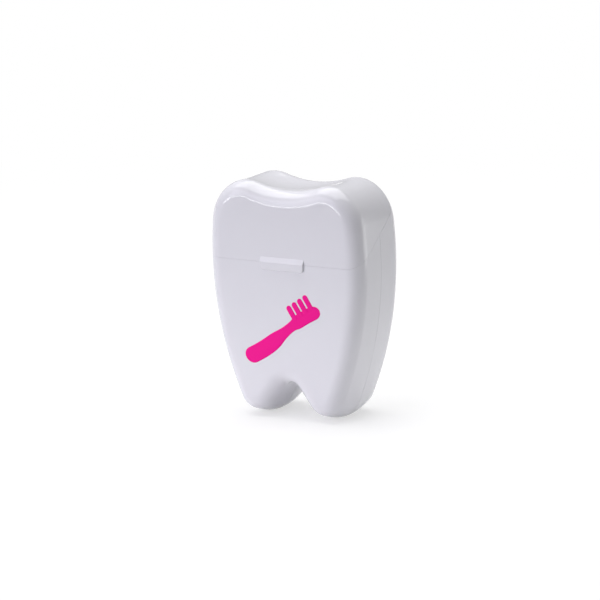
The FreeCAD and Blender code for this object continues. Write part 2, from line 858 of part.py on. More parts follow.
gauge = number("cutter_gauge")
inner_fold = round_edges(cutter, fold, "cutter_inner_fold", "cutter_gauge", fold_corner(gauge, gauge))
round_edges(cutter, inner_fold, "cutter_outer_fold", "2 * cutter_gauge", fold_corner(0, 0))
slot_sketch = new_sketch(cutter, "cutter_slot", "YZ_Plane")
slot_low = "strand_lift * tilt_cos + floor_drop - seat_gap - slot_width"
polygon(
    slot_sketch,
    [
        ("-slot_width / 2", slot_low),
        ("slot_width / 2", slot_low),
        ("slot_width / 2", f"{slot_low} + 2 * slot_width"),
        ("slot_mouth / 2", "cutter_rise + cutter_gauge"),
        ("-slot_mouth / 2", "cutter_rise + cutter_gauge"),
        ("-slot_width / 2", f"{slot_low} + 2 * slot_width"),
    ],
)
through_pocket(cutter, slot_sketch, "cutter_slot_cut")
hole_sketch = new_sketch(cutter, "cutter_holes", "XY_Plane")
circle(hole_sketch, "stake_offset", "stake_spread", "stake_radius + stake_fit")
circle(hole_sketch, "stake_offset", "-stake_spread", "stake_radius + stake_fit")
through_pocket(cutter, hole_sketch, "cutter_hole_cut")
tooth_sketch = new_sketch(cutter, "cutter_teeth", "YZ_Plane")
tooth_pitch = "(cutter_width - slot_mouth) / 6"
for side in ("", "-"):
    for step in ("0.6", "1.6"):
        centre = f"{side}(slot_mouth / 2 + {tooth_pitch} * ({step} + 0.4))"
        polygon(
            tooth_sketch,
            [
                (centre, f"cutter_rise - {tooth_pitch} * 0.8"),
                (f"{centre} + {tooth_pitch} * 0.45", "cutter_rise + cutter_gauge"),
                (f"{centre} - {tooth_pitch} * 0.45", "cutter_rise + cutter_gauge"),
            ],
        )
through_pocket(cutter, tooth_sketch, "cutter_tooth_cut")
tilted(cutter, "cutter_offset", cutter_along, "-floor_drop + seat_gap")

# Bobbin and the floss wound on it.

bobbin = new_body("bobbin_spool")
bobbin_sketch = new_sketch(bobbin, "bobbin_section", "XY_Plane")
bore = "spindle_radius + spindle_fit"
inside = "bobbin_width / 2 - flange_thickness"
polygon(
    bobbin_sketch,
    [
        (bore, "-bobbin_width / 2"),
        ("flange_radius", "-bobbin_width / 2"),
        ("flange_radius", f"-({inside})"),
        ("core_radius", f"-({inside})"),
        ("core_radius", inside),
        ("flange_radius", inside),
        ("flange_radius", "bobbin_width / 2"),
        (bore, "bobbin_width / 2"),
    ],
)
winding = new_body("floss_winding")
winding_sketch = new_sketch(winding, "winding_section", "XY_Plane")
edge_of_winding = f"{inside} - winding_side_gap"
polygon(
    winding_sketch,
    [
        ("core_radius + winding_fit", f"-({edge_of_winding})"),
        ("winding_radius", f"-({edge_of_winding})"),
        ("winding_radius", edge_of_winding),
        ("core_radius + winding_fit", edge_of_winding),
    ],
)
for body, sketch in ((bobbin, bobbin_sketch), (winding, winding_sketch)):
    turned = body.newObject("PartDesign::Revolution", body.Name + "_turned")
    turned.Profile = (sketch, [""])
    turned.ReferenceAxis = (sketch, ["V_Axis"])
    turned.Angle = 360
    body.Tip = turned
    bind(body, "Placement.Base.z", "bobbin_height")
doc.recompute()

# Free strand: round the winding, up through the guide, over a bend and through the slot of the cutter.

strand = new_body("floss_strand")
path = new_sketch(strand, "strand_path", "XZ_Plane", "-tray_depth")
orbit = number("strand_orbit")
hub = Vector(0, number("bobbin_height"), 0)
guide_point = Vector(number("exit_offset"), number("tray_height - exit_drop"), 0)
offset = guide_point - hub
lean = math.atan2(offset.y, offset.x) + math.acos(orbit / offset.Length)
touch = hub + Vector(orbit * math.cos(lean), orbit * math.sin(lean), 0)
rise = (guide_point - touch).normalize()
bend_radius = number("strand_bend")
level = number("tray_height + strand_lift")
normal = Vector(rise.y, -rise.x, 0)
bend_start_height = level - bend_radius - normal.y * -bend_radius
reach = (bend_start_height - touch.y) / rise.y
bend_start = touch + rise * reach
bend_hub = bend_start + normal * bend_radius
bend_end = Vector(bend_hub.x, level, 0)
tail = Vector(number("strand_end"), level, 0)
tail_line = path.addGeometry(Part.LineSegment(tail, bend_end), False)
bend_ring = Part.Circle(bend_hub, Vector(0, 0, 1), bend_radius)
bend_angle = math.atan2(bend_start.y - bend_hub.y, bend_start.x - bend_hub.x)
bend = path.addGeometry(Part.ArcOfCircle(bend_ring, math.pi / 2, bend_angle), False)
rising_line = path.addGeometry(Part.LineSegment(bend_start, touch), False)
wrap_ring = Part.Circle(hub, Vector(0, 0, 1), orbit)
wrap_stop = lean + math.radians(number("strand_wrap"))
wrap = path.addGeometry(Part.ArcOfCircle(wrap_ring, lean, wrap_stop), False)
marker = path.addGeometry(Part.Point(guide_point), True)
spoke_end = hub + Vector(orbit * math.cos(wrap_stop), orbit * math.sin(wrap_stop), 0)
wrap_spoke = path.addGeometry(Part.LineSegment(hub, spoke_end), True)
lean_spoke = path.addGeometry(Part.LineSegment(hub, touch), True)
path.addConstraint(
    [
        Constraint("Horizontal", tail_line),
        Constraint("Tangent", tail_line, 2, bend, 1),
        Constraint("Tangent", bend, 2, rising_line, 1),
        Constraint("Tangent", rising_line, 2, wrap, 1),
        Constraint("PointOnObject", marker, 1, rising_line),
        Constraint("Coincident", wrap_spoke, 1, wrap, 3),
        Constraint("Coincident", wrap_spoke, 2, wrap, 2),
        Constraint("Coincident", lean_spoke, 1, wrap, 3),
        Constraint("Coincident", lean_spoke, 2, wrap, 1),
    ]
)
pin_point(path, tail_line, 1, "strand_end", "tray_height + strand_lift")
pin_point(path, wrap, 3, "0", "bobbin_height")
pin_point(path, marker, 1, "exit_offset", "tray_height - exit_drop")
drive(path, Constraint("Radius", bend, bend_radius), "strand_bend")
drive(path, Constraint("Radius", wrap, orbit), "strand_orbit")
wrap_turn = math.radians(number("strand_wrap"))
drive(path, Constraint("Angle", lean_spoke, 1, wrap_spoke, 1, wrap_turn), "strand_wrap * 1 deg")
strand_section = new_sketch(strand, "strand_section", "YZ_Plane", "strand_end")
circle(strand_section, "tray_depth", "tray_height + strand_lift", "strand_radius")
doc.recompute()
tube = strand.newObject("PartDesign::AdditivePipe", "strand_tube")
tube.Profile = (strand_section, [""])
tube.Spine = (path, [""])
strand.Tip = tube
doc.recompute()

# Each piece goes to its own file.

pieces = {
    "front_shell": front_shell,
    "rear_shell": rear_shell,
    "flip_lid": flip_lid,
    "hinge_pin": pin,
    "cutter_tray": cutter_tray,
    "cutter_blade": cutter,
    "bobbin_spool": bobbin,
    "floss_winding": winding,
    "floss_strand": strand,
}
for item in doc.Objects:
    if "Invalid" in item.State or "Error" in item.State:
        raise RuntimeError(f"{item.Name} did not rebuild: {item.State}")
os.makedirs("parts", exist_ok=True)
for name, item in pieces.items():
    item.Label = name
    shape = item.Shape
    if shape.isNull() or not shape.isValid() or len(shape.Solids) != 1:
        raise RuntimeError(f"{name} is not one valid solid")
    shape.exportStep(f"parts/{name}.step")
    box = shape.BoundBox
    extent = [round(v, 2) for v in (box.XMin, box.XMax, box.YMin, box.YMax, box.ZMin, box.ZMax)]
    print(name, round(shape.Volume, 1), extent)
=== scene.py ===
import json
import math

import bpy
import numpy as np
from mathutils import Matrix, Vector


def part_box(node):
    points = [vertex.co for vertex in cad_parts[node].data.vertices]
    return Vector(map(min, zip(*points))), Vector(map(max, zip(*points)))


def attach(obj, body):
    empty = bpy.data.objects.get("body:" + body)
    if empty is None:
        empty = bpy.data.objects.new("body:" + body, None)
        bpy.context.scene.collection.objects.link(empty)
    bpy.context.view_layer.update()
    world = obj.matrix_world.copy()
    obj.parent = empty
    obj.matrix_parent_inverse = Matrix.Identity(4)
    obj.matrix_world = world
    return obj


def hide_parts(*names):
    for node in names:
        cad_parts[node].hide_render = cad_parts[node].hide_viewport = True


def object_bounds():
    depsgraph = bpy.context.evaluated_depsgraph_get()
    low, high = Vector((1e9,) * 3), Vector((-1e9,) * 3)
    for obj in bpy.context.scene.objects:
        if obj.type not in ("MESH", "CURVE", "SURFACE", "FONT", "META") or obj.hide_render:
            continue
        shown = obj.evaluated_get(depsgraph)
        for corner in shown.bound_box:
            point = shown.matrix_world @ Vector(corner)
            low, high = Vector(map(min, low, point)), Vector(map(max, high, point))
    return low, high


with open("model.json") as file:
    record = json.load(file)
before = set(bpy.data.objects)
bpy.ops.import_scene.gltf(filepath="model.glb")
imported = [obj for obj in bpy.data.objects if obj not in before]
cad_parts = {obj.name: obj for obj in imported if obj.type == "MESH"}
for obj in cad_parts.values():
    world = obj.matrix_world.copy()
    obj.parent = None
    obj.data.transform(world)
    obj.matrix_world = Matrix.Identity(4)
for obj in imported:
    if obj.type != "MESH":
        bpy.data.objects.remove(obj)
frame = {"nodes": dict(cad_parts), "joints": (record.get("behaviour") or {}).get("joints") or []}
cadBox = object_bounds()
nodes = frame["nodes"]
jointPlace = {joint["name"]: Vector(joint["pos_m"]) for joint in frame["joints"]}
mm = 0.001
objectCentre = Vector((0, 0, 28 * mm))
print("frame loaded:", ", ".join(sorted(nodes)))

# Mesh helpers

tipShare = 0.001


def meshPiece(name, surface, body, material):
    points, faces, uvs = surface
    mesh = bpy.data.meshes.new(name)
    mesh.from_pydata(points.tolist(), [], faces.tolist())
    layer = mesh.uv_layers.new(name="UVMap")
    layer.data.foreach_set("uv", uvs[faces.ravel()].astype(np.float32).ravel())
    mesh.validate()
    mesh.polygons.foreach_set("use_smooth", np.ones(len(mesh.polygons), bool))
    mesh.update()
    mesh.materials.append(material)
    piece = bpy.data.objects.new(name, mesh)
    bpy.context.scene.collection.objects.link(piece)
    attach(piece, body)
    return piece


def gridFaces(rows, columns, closed):
    # Quads of a grid of rows x columns points; closed joins the last column to the first.
    across = columns if closed else columns - 1
    i, j = np.meshgrid(np.arange(rows - 1), np.arange(across), indexing="ij")
    k = (j + 1) % columns
    here, above = i * columns, (i + 1) * columns
    quads = np.stack([here + j, here + k, above + k, above + j], axis=-1)
    return quads.reshape(-1, 4)


def tubeAlong(path, normal, radius, sides):
    # A circle carried along a path: centre + radius * (cos * normal + sin * binormal),
    # drawn to a point at both ends.
    tangent = np.gradient(path, axis=0)
    tangent /= np.linalg.norm(tangent, axis=1, keepdims=True)
    binormal = np.cross(tangent, normal)
    swell = np.full(len(path), radius)
    swell[[0, -1]] = radius * tipShare
    turn = np.linspace(0, 2 * np.pi, sides, endpoint=False)
    ring = np.cos(turn)[None, :, None] * normal[:, None] + np.sin(turn)[None, :, None] * binormal[:, None]
    points = path[:, None] + swell[:, None, None] * ring
    step = np.linalg.norm(np.diff(path, axis=0), axis=1)
    along = np.concatenate([[0], np.cumsum(step)]) / mm
    uvs = np.stack(np.broadcast_arrays(along[:, None], turn[None] / (2 * np.pi)), axis=-1)
    return points.reshape(-1, 3), gridFaces(len(path), sides, True), uvs.reshape(-1, 2)


def joined(parts):
    # Several (points, faces, uvs) surfaces as one, with their face numbers shifted.
    starts = np.cumsum([0] + [len(points) for points, faces, uvs in parts[:-1]])
    points = np.concatenate([part[0] for part in parts])
    faces = np.concatenate([part[1] + start for part, start in zip(parts, starts)])
    return points, faces, np.concatenate([part[2] for part in parts])


# Material helpers


def put(tree, kind, place, settings=None, **links):
    node = tree.nodes.new(kind)
    node.location = place
    for key, value in (settings or {}).items():
        if hasattr(node, key):
            setattr(node, key, value)
        else:
            node.inputs[key].default_value = value
    for key, source in links.items():
        tree.links.new(source, node.inputs[key.replace("_", " ")])
    return node


def newGroup(name, inputs, outputs):
    group = bpy.data.node_groups.new(name, "ShaderNodeTree")
    for title, kind, value in inputs:
        socket = group.interface.new_socket(name=title, in_out="INPUT", socket_type=kind)
        if value is not None:
            socket.default_value = value
    for title, kind in outputs:
        group.interface.new_socket(name=title, in_out="OUTPUT", socket_type=kind)
    start = group.nodes.new("NodeGroupInput")
    start.location = (-900, 0)
    end = group.nodes.new("NodeGroupOutput")
    end.location = (700, 0)
    return group, start, end


def mouldedGroup():
    # Moulded plastic: slow drift of tone and gloss from the melt flow, and a fine orange peel on the surface.
    group, start, end = newGroup(
        "mouldedPlastic",
        [
            ("Vector", "NodeSocketVector", None),
            ("Tone", "NodeSocketColor", (0.85, 0.85, 0.88, 1)),
            ("Flow Tone", "NodeSocketColor", (0.82, 0.82, 0.86, 1)),
            ("Gloss", "NodeSocketFloat", 0.25),
            ("Gloss Drift", "NodeSocketFloat", 0.06),
        ],
        [("Color", "NodeSocketColor"), ("Roughness", "NodeSocketFloat"), ("Height", "NodeSocketFloat")],
    )
    where = start.outputs["Vector"]
    noise = "ShaderNodeTexNoise"
    flow = put(group, noise, (-650, 250), {"Scale": 70, "Detail": 3, "Roughness": 0.45}, Vector=where)
    haze = put(group, noise, (-650, 0), {"Scale": 420, "Detail": 4, "Roughness": 0.6}, Vector=where)
    peel = put(group, noise, (-650, -250), {"Scale": 1500, "Detail": 1}, Vector=where)
    tone = put(group, "ShaderNodeMix", (-350, 250), {"data_type": "RGBA"})
    group.links.new(flow.outputs["Fac"], tone.inputs[0])
    group.links.new(start.outputs["Tone"], tone.inputs[6])
    group.links.new(start.outputs["Flow Tone"], tone.inputs[7])
    drift = put(group, "ShaderNodeMath", (-350, 0), {"operation": "MULTIPLY_ADD"})
    group.links.new(haze.outputs["Fac"], drift.inputs[0])
    group.links.new(start.outputs["Gloss Drift"], drift.inputs[1])
    group.links.new(start.outputs["Gloss"], drift.inputs[2])
    group.links.new(tone.outputs[2], end.inputs["Color"])
    group.links.new(drift.outputs[0], end.inputs["Roughness"])
    group.links.new(peel.outputs["Fac"], end.inputs["Height"])
    return group


def plasticMaterial(name, group, look):
    material = bpy.data.materials.new(name)
    material.use_nodes = True
    tree = material.node_tree
    shader = tree.nodes["Principled BSDF"]
    where = put(tree, "ShaderNodeTexCoord", (-900, 0))
    finish = put(tree, "ShaderNodeGroup", (-650, 0), {"node_tree": group}, Vector=where.outputs["Object"])
    finish.inputs["Tone"].default_value = look["tone"] + (1,)
    finish.inputs["Flow Tone"].default_value = look["flowTone"] + (1,)
    finish.inputs["Gloss"].default_value = look["gloss"]
    finish.inputs["Gloss Drift"].default_value = look["glossDrift"]
    bump = put(tree, "ShaderNodeBump", (-350, -250), {"Strength": look["peel"], "Distance": 0.02 * mm})
    tree.links.new(finish.outputs["Height"], bump.inputs["Height"])
    tree.links.new(finish.outputs["Color"], shader.inputs["Base Color"])
    tree.links.new(finish.outputs["Roughness"], shader.inputs["Roughness"])
    tree.links.new(bump.outputs["Normal"], shader.inputs["Normal"])
    shader.inputs["IOR"].default_value = look["ior"]
    return material


def steelMaterial(name, look):
    # Drawn or stamped strip: long fine streaks along X that break up the gloss.
    material = bpy.data.materials.new(name)
    material.use_nodes = True
    tree = material.node_tree
    shader = tree.nodes["Principled BSDF"]
    where = put(tree, "ShaderNodeTexCoord", (-1100, 0))
    stretch = put(tree, "ShaderNodeMapping", (-900, 0), {"Scale": look["streak"]})
    tree.links.new(where.outputs["Object"], stretch.inputs["Vector"])
    streaks = put(tree, "ShaderNodeTexNoise", (-700, 0), {"Scale": 900, "Detail": 5})
    tree.links.new(stretch.outputs["Vector"], streaks.inputs["Vector"])
    tone = put(tree, "ShaderNodeValToRGB", (-450, 150), None, Fac=streaks.outputs["Fac"])
    tone.color_ramp.elements[0].color = look["dark"] + (1,)
    tone.color_ramp.elements[1].color = look["light"] + (1,)
    gloss = put(tree, "ShaderNodeMapRange", (-450, -100), {"To Min": 0.22, "To Max": 0.42})
    tree.links.new(streaks.outputs["Fac"], gloss.inputs["Value"])
    bump = put(tree, "ShaderNodeBump", (-250, -300), {"Strength": 0.15, "Distance": 0.01 * mm})
    tree.links.new(streaks.outputs["Fac"], bump.inputs["Height"])
    tree.links.new(tone.outputs["Color"], shader.inputs["Base Color"])
    tree.links.new(gloss.outputs["Result"], shader.inputs["Roughness"])
    tree.links.new(bump.outputs["Normal"], shader.inputs["Normal"])
    shader.inputs["Metallic"].default_value = 1
    return material


def flossMaterial():
    # Waxed filaments: fine streaks that run along the thread and lean round it, from the tube's own UV map.
    material = bpy.data.materials.new("waxedFloss")
    material.use_nodes = True
    tree = material.node_tree
    shader = tree.nodes["Principled BSDF"]
    where = put(tree, "ShaderNodeUVMap", (-1100, 0), {"uv_map": "UVMap"})
    lay = put(tree, "ShaderNodeMapping", (-900, 0), {"Scale": (0.35, 14, 1)}, Vector=where.outputs["UV"])
    strands = put(tree, "ShaderNodeTexNoise", (-700, 0), {"Scale": 1.4, "Detail": 4})
    tree.links.new(lay.outputs["Vector"], strands.inputs["Vector"])
    tone = put(tree, "ShaderNodeValToRGB", (-450, 150), None, Fac=strands.outputs["Fac"])
    tone.color_ramp.elements[0].color = (0.80, 0.81, 0.80, 1)
    tone.color_ramp.elements[1].color = (0.93, 0.93, 0.91, 1)
    gloss = put(tree, "ShaderNodeMapRange", (-450, -100), {"To Min": 0.38, "To Max": 0.6})
    tree.links.new(strands.outputs["Fac"], gloss.inputs["Value"])
    bump = put(tree, "ShaderNodeBump", (-250, -300), {"Strength": 0.4, "Distance": 0.02 * mm})
    tree.links.new(strands.outputs["Fac"], bump.inputs["Height"])
    tree.links.new(tone.outputs["Color"], shader.inputs["Base Color"])
    tree.links.new(gloss.outputs["Result"], shader.inputs["Roughness"])
    tree.links.new(bump.outputs["Normal"], shader.inputs["Normal"])
    return material


finishes = {
    "casePlastic": {
        "tone": (0.835, 0.83, 0.872), "flowTone": (0.815, 0.81, 0.855),
        "gloss": 0.1, "glossDrift": 0.05, "peel": 0.03, "ior": 1.49,
    },
    "lidPlastic": {
        "tone": (0.835, 0.83, 0.872), "flowTone": (0.815, 0.81, 0.855),
        "gloss": 0.1, "glossDrift": 0.05, "peel": 0.03, "ior": 1.49,
    },
    "trayPlastic": {
        "tone": (0.83, 0.83, 0.85), "flowTone": (0.80, 0.80, 0.83),
        "gloss": 0.34, "glossDrift": 0.1, "peel": 0.12, "ior": 1.49,
    },
    "bobbinPlastic": {
        "tone": (0.78, 0.79, 0.81), "flowTone": (0.73, 0.745, 0.77),
        "gloss": 0.45, "glossDrift": 0.12, "peel": 0.2, "ior": 1.49,
    },
    "pinkInk": {
        "tone": (1.0, 0.004, 0.31), "flowTone": (0.98, 0.003, 0.3),
        "gloss": 0.5, "glossDrift": 0.12, "peel": 0.15, "ior": 1.25,
    },
}
steels = {
    "cutterSteel": {"streak": (0.06, 1, 1), "dark": (0.52, 0.52, 0.54), "light": (0.72, 0.72, 0.74)},
    "pinSteel": {"streak": (0.03, 1, 1), "dark": (0.48, 0.48, 0.5), "light": (0.66, 0.66, 0.68)},
}
nodeFinish = {
    "front_shell": "casePlastic",
    "rear_shell": "casePlastic",
    "flip_lid": "lidPlastic",
    "cutter_tray": "trayPlastic",
    "bobbin_spool": "bobbinPlastic",
    "hinge_pin": "pinSteel",
    "cutter_blade": "cutterSteel",
}
moulded = mouldedGroup()
materials = {name: plasticMaterial(name, moulded, look) for name, look in finishes.items()}
materials.update({name: steelMaterial(name, look) for name, look in steels.items()})
materials["waxedFloss"] = flossMaterial()
for nodeName, finishName in nodeFinish.items():
    for materialSlot in nodes[nodeName].material_slots:
        materialSlot.material = materials[finishName]
print("materials:", ", ".join(materials))

# Floss wound on the spool

windingSizes = {
    "thread": 0.5 * mm, "sides": 8, "stepsPerTurn": 72, "coreRadius": 4.87 * mm, "coreInset": 0.35 * mm,
    "coreSpokes": 96, "wander": 0.03 * mm, "wanderRate": 0.73,
}


def flossWinding(sizes):
    # Outer layer: a helix about the spool axis, radius * (cos, sin) across and a steady climb along Y.
    low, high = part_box("floss_winding")
    hub = jointPlace["bobbin_spin"]
    outer = (high.z - low.z) / 2
    inner = sizes["coreRadius"]
    half = sizes["thread"] / 2
    turns = int((high.y - low.y - sizes["thread"]) / sizes["thread"])
    turn = np.linspace(0, 2 * np.pi * turns, turns * sizes["stepsPerTurn"] + 1)
    climb = np.linspace(low.y + half, high.y - half, len(turn))
    climb += sizes["wander"] * np.sin(turn * sizes["wanderRate"])
    outward = np.stack([np.cos(turn), np.zeros_like(turn), np.sin(turn)], axis=1)
    path = (outer - half) * outward + np.stack([0 * turn + hub.x, climb, 0 * turn + hub.z], axis=1)
    layer = tubeAlong(path, outward, half, sizes["sides"])
    # Core: a rectangle revolved about the same axis, just under the outer layer.
    face = outer - sizes["coreInset"]
    profile = np.array([[inner, low.y], [face, low.y], [face, high.y], [inner, high.y], [inner, low.y]])
    around = np.linspace(0, 2 * np.pi, sizes["coreSpokes"], endpoint=False)
    points = np.stack(
        [
            hub.x + profile[:, None, 0] * np.cos(around),
            profile[:, None, 1] + 0 * around,
            hub.z + profile[:, None, 0] * np.sin(around),
        ],
        axis=-1,
    )
    uvs = np.stack(np.broadcast_arrays(around[None] * outer / mm, profile[:, None, 1] / mm), axis=-1)
    core = points.reshape(-1, 3), gridFaces(len(profile), len(around), True)[:, ::-1], uvs.reshape(-1, 2)
    return joined([layer, core])


winding = meshPiece("woundFloss", flossWinding(windingSizes), "bobbin", materials["waxedFloss"])
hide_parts("floss_winding")
print("winding:", len(winding.data.polygons), "faces")

# Free strand from the winding through the guide to the cutter

strandSizes = {
    "diameter": 0.5 * mm, "length": 36.2 * mm, "plies": 3, "plyRadius": 0.118 * mm, "plyOffset": 0.132 * mm,
    "pitch": 2.2 * mm, "step": 0.1 * mm, "sides": 7, "depth": -2 * mm, "fineness": 24,
    # across and up, in millimetres: off the winding, up the guide, over the bend and through the slot
    "route": [
        (-10.98, 21.66), (-11.95, 25.14), (-9.45, 31.26), (-4.75, 42.73),
        (-3.61, 45.51), (-0.61, 45.51), (7.5, 45.51),
    ],
}


def strandLine(sizes):
    # The smooth line of the route, read from a NURBS spline and laid out in even steps.
    data = bpy.data.curves.new("strandRoute", "CURVE")
    data.dimensions = "3D"
    data.resolution_u = sizes["fineness"]
    spline = data.splines.new("NURBS")
    spline.points.add(len(sizes["route"]) - 1)
    for point, (across, up) in zip(spline.points, sizes["route"]):
        point.co = (across * mm, sizes["depth"], up * mm, 1)
    spline.order_u = 3
    spline.use_endpoint_u = True
    route = bpy.data.objects.new("strandRoute", data)
    bpy.context.scene.collection.objects.link(route)
    line = bpy.data.meshes.new_from_object(route)
    read = np.array([vertex.co for vertex in line.vertices])
    bpy.data.objects.remove(route)
    bpy.data.meshes.remove(line)
    along = np.concatenate([[0], np.cumsum(np.linalg.norm(np.diff(read, axis=0), axis=1))])
    even = np.linspace(0, along[-1], int(along[-1] / sizes["step"]) + 1)
    return even, np.stack([np.interp(even, along, read[:, axis]) for axis in range(3)], axis=1)


def flossStrand(sizes, along, line):
    # Plies round the line: line + offset * (cos * normal + sin * depth axis),
    # each turned by its share of a circle.
    tangent = np.gradient(line, axis=0)
    tangent /= np.linalg.norm(tangent, axis=1, keepdims=True)
    sideways = np.broadcast_to([0.0, 1.0, 0.0], line.shape)
    normal = np.cross(sideways, tangent)
    parts = []
    for ply in range(sizes["plies"]):
        turn = 2 * np.pi * (along / sizes["pitch"] + ply / sizes["plies"])
        outward = np.cos(turn)[:, None] * normal + np.sin(turn)[:, None] * sideways
        path = line + sizes["plyOffset"] * outward
        parts.append(tubeAlong(path, outward, sizes["plyRadius"], sizes["sides"]))
    return joined(parts)


strandAlong, strandPath = strandLine(strandSizes)
strandSurface = flossStrand(strandSizes, strandAlong, strandPath)
strand = meshPiece("twistedStrand", strandSurface, "case", materials["waxedFloss"])
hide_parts("floss_strand")
print("strand:", round(strandAlong[-1] / mm, 2), "mm long,", len(strand.data.polygons), "faces")

# Pictogram printed on the front

brushSizes = {
    "centre": (-0.4 * mm, 20.6 * mm), "tilt": 33, "film": 0.03 * mm, "layer": 0.004 * mm, "length": 24 * mm,
    "grip": 2.0 * mm, "neck": 1.15 * mm, "head": 1.65 * mm, "neckAt": 0.46, "headAt": 0.68, "bow": -0.45 * mm,
    "tufts": 4, "tuftWidth": 1.35 * mm, "tuftHeight": 4.0 * mm, "tuftPitch": 1.75 * mm, "tuftRoot": 0.9 * mm,
    "tuftStart": 1.1 * mm, "backing": 0.08 * mm, "neckBlend": 24, "headBlend": 60,
    "handleGrid": (120, 9), "tuftGrid": (40, 5),
}


def ribbon(along, middle, half, steps):
    # A flat strip in the plane of the front face: middle line plus or minus a half width, in even steps.
    edge = middle[:, None] + half[:, None] * np.linspace(-1, 1, steps)
    return np.stack(np.broadcast_arrays(along[:, None], edge), axis=-1)


def roundedEnds(share, reach):
    # Half width of a strip whose two ends are half circles: sqrt(1 - (distance past the arc / reach) squared).
    past = np.maximum(0, np.maximum(reach - share, share - (1 - reach))) / reach
    return np.sqrt(np.maximum(1 - past**2, tipShare**2))


def blendAt(share, place, steepness):
    # Smooth step from zero to one: 1 / (1 + exp(-(share - place) * steepness)).
    return 1 / (1 + np.exp(-(share - place) * steepness))


def brushShapes(sizes):
    # Handle and tufts as strips; rows crowd towards both ends by share = (1 - cos) / 2.
    handleRows, handleColumns = sizes["handleGrid"]
    tuftRows, tuftColumns = sizes["tuftGrid"]
    share = (1 - np.cos(np.linspace(0, np.pi, handleRows))) / 2
    width = sizes["grip"] + np.zeros(handleRows)
    width += (sizes["neck"] - sizes["grip"]) * blendAt(share, sizes["neckAt"], sizes["neckBlend"])
    width += (sizes["head"] - sizes["neck"]) * blendAt(share, sizes["headAt"], sizes["headBlend"])
    half = width * roundedEnds(share, sizes["grip"] / sizes["length"])
    middle = sizes["bow"] * np.sin(share * np.pi * 2)
    shapes = [ribbon((share - 0.5) * sizes["length"], middle, half, handleColumns)]
    up = (1 - np.cos(np.linspace(0, np.pi, tuftRows))) / 2
    halfTuft = sizes["tuftWidth"] / 2 * roundedEnds(up, 0.5 * sizes["tuftWidth"] / sizes["tuftHeight"])
    for tuft in range(sizes["tufts"]):
        place = sizes["length"] / 2 - sizes["tuftStart"] - tuft * sizes["tuftPitch"] - sizes["tuftWidth"] / 2
        strip = ribbon(sizes["tuftRoot"] + up * sizes["tuftHeight"], 0 * up + place, halfTuft, tuftColumns)
        shapes.append(strip[:, ::-1, ::-1])
    return shapes


def printedBrush(sizes):
    # Each strip turned by the tilt and laid on the front face, the tufts one thin layer above the handle.
    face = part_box("rear_shell")[1].y
    cosine, sine = math.cos(math.radians(sizes["tilt"])), math.sin(math.radians(sizes["tilt"]))
    parts = []
    for number, shape in enumerate(brushShapes(sizes)):
        across = sizes["centre"][0] + shape[..., 0] * cosine - shape[..., 1] * sine
        up = sizes["centre"][1] + shape[..., 0] * sine + shape[..., 1] * cosine
        lift = sizes["film"] + (sizes["layer"] if number else 0)
        points = np.stack([across, np.full(across.shape, -face - lift), up], axis=-1)
        faces = gridFaces(shape.shape[0], shape.shape[1], False)[:, ::-1]
        parts.append((points.reshape(-1, 3), faces, shape.reshape(-1, 2) / mm))
    return joined(parts)


brush = meshPiece("printedBrush", printedBrush(brushSizes), "case", materials["pinkInk"])
backing = brush.modifiers.new("inkBacking", "SOLIDIFY")
backing.thickness = brushSizes["backing"]
backing.offset = -1
print("print:", len(brush.data.polygons), "faces")

# Camera, lights and floor

cameraView = {
    "azimuth": 31.76, "elevation": 12.25, "roll": 1.69, "distance": 0.933, "pixelsPerMetre": 4290,
    "centrePixel": (305.3, 294.9), "picture": 600, "sensor": 36, "nearest": 0.01,
}


def fromAngles(azimuth, elevation):
    a, e = math.radians(azimuth), math.radians(elevation)
    return Vector((math.sin(a) * math.cos(e), -math.cos(a) * math.cos(e), math.sin(e)))


def makeCamera(look):
    back = fromAngles(look["azimuth"], look["elevation"])
    level = Vector((0, 0, 1)).cross(back).normalized()
    rise = back.cross(level)
    roll = math.radians(look["roll"])
    right = level * math.cos(roll) - rise * math.sin(roll)
    up = rise * math.cos(roll) + level * math.sin(roll)
    offCentre = [value - look["picture"] / 2 for value in look["centrePixel"]]
    place = objectCentre + back * look["distance"]
    place += (up * offCentre[1] - right * offCentre[0]) / look["pixelsPerMetre"]
    data = bpy.data.cameras.new("camera")
    data.sensor_width = look["sensor"]
    data.lens = look["pixelsPerMetre"] * look["distance"] * look["sensor"] / look["picture"]
    data.clip_start = look["nearest"]
    camera = bpy.data.objects.new("camera", data)
    bpy.context.scene.collection.objects.link(camera)
    camera.matrix_world = Matrix.Translation(place) @ Matrix((right, up, back)).transposed().to_4x4()
    bpy.context.scene.camera = camera


lampSettings = {
    "frontBox": {
        "azimuth": -30, "elevation": 20, "distance": 0.8,
        "size": (0.7, 0.55), "power": 2.65, "tint": (0.9, 0.875, 1),
    },
    "rimStrip": {
        "azimuth": -32, "elevation": 4, "distance": 0.8,
        "size": (0.6, 0.03), "power": 0.85, "tint": (1, 1, 1),
    },
    "topBox": {
        "azimuth": -120, "elevation": 80, "distance": 0.8,
        "size": (1.0, 1.0), "power": 7.9, "tint": (1, 1, 1),
    },
    "rearBox": {
        "azimuth": 125, "elevation": 2, "distance": 0.2,
        "size": (0.12, 0.12), "power": 0.1, "tint": (1, 1, 1),
    },
}


def makeLamps(lamps):
    for name, look in lamps.items():
        data = bpy.data.lights.new(name, "AREA")
        data.shape = "RECTANGLE"
        data.size, data.size_y = look["size"]
        data.energy = look["power"]
        data.color = look["tint"]
        lamp = bpy.data.objects.new(name, data)
        bpy.context.scene.collection.objects.link(lamp)
        toLamp = fromAngles(look["azimuth"], look["elevation"])
        lamp.location = objectCentre + toLamp * look["distance"]
        lamp.rotation_mode = "QUATERNION"
        lamp.rotation_quaternion = toLamp.to_track_quat("Z", "Y")
        lamp.visible_camera = False


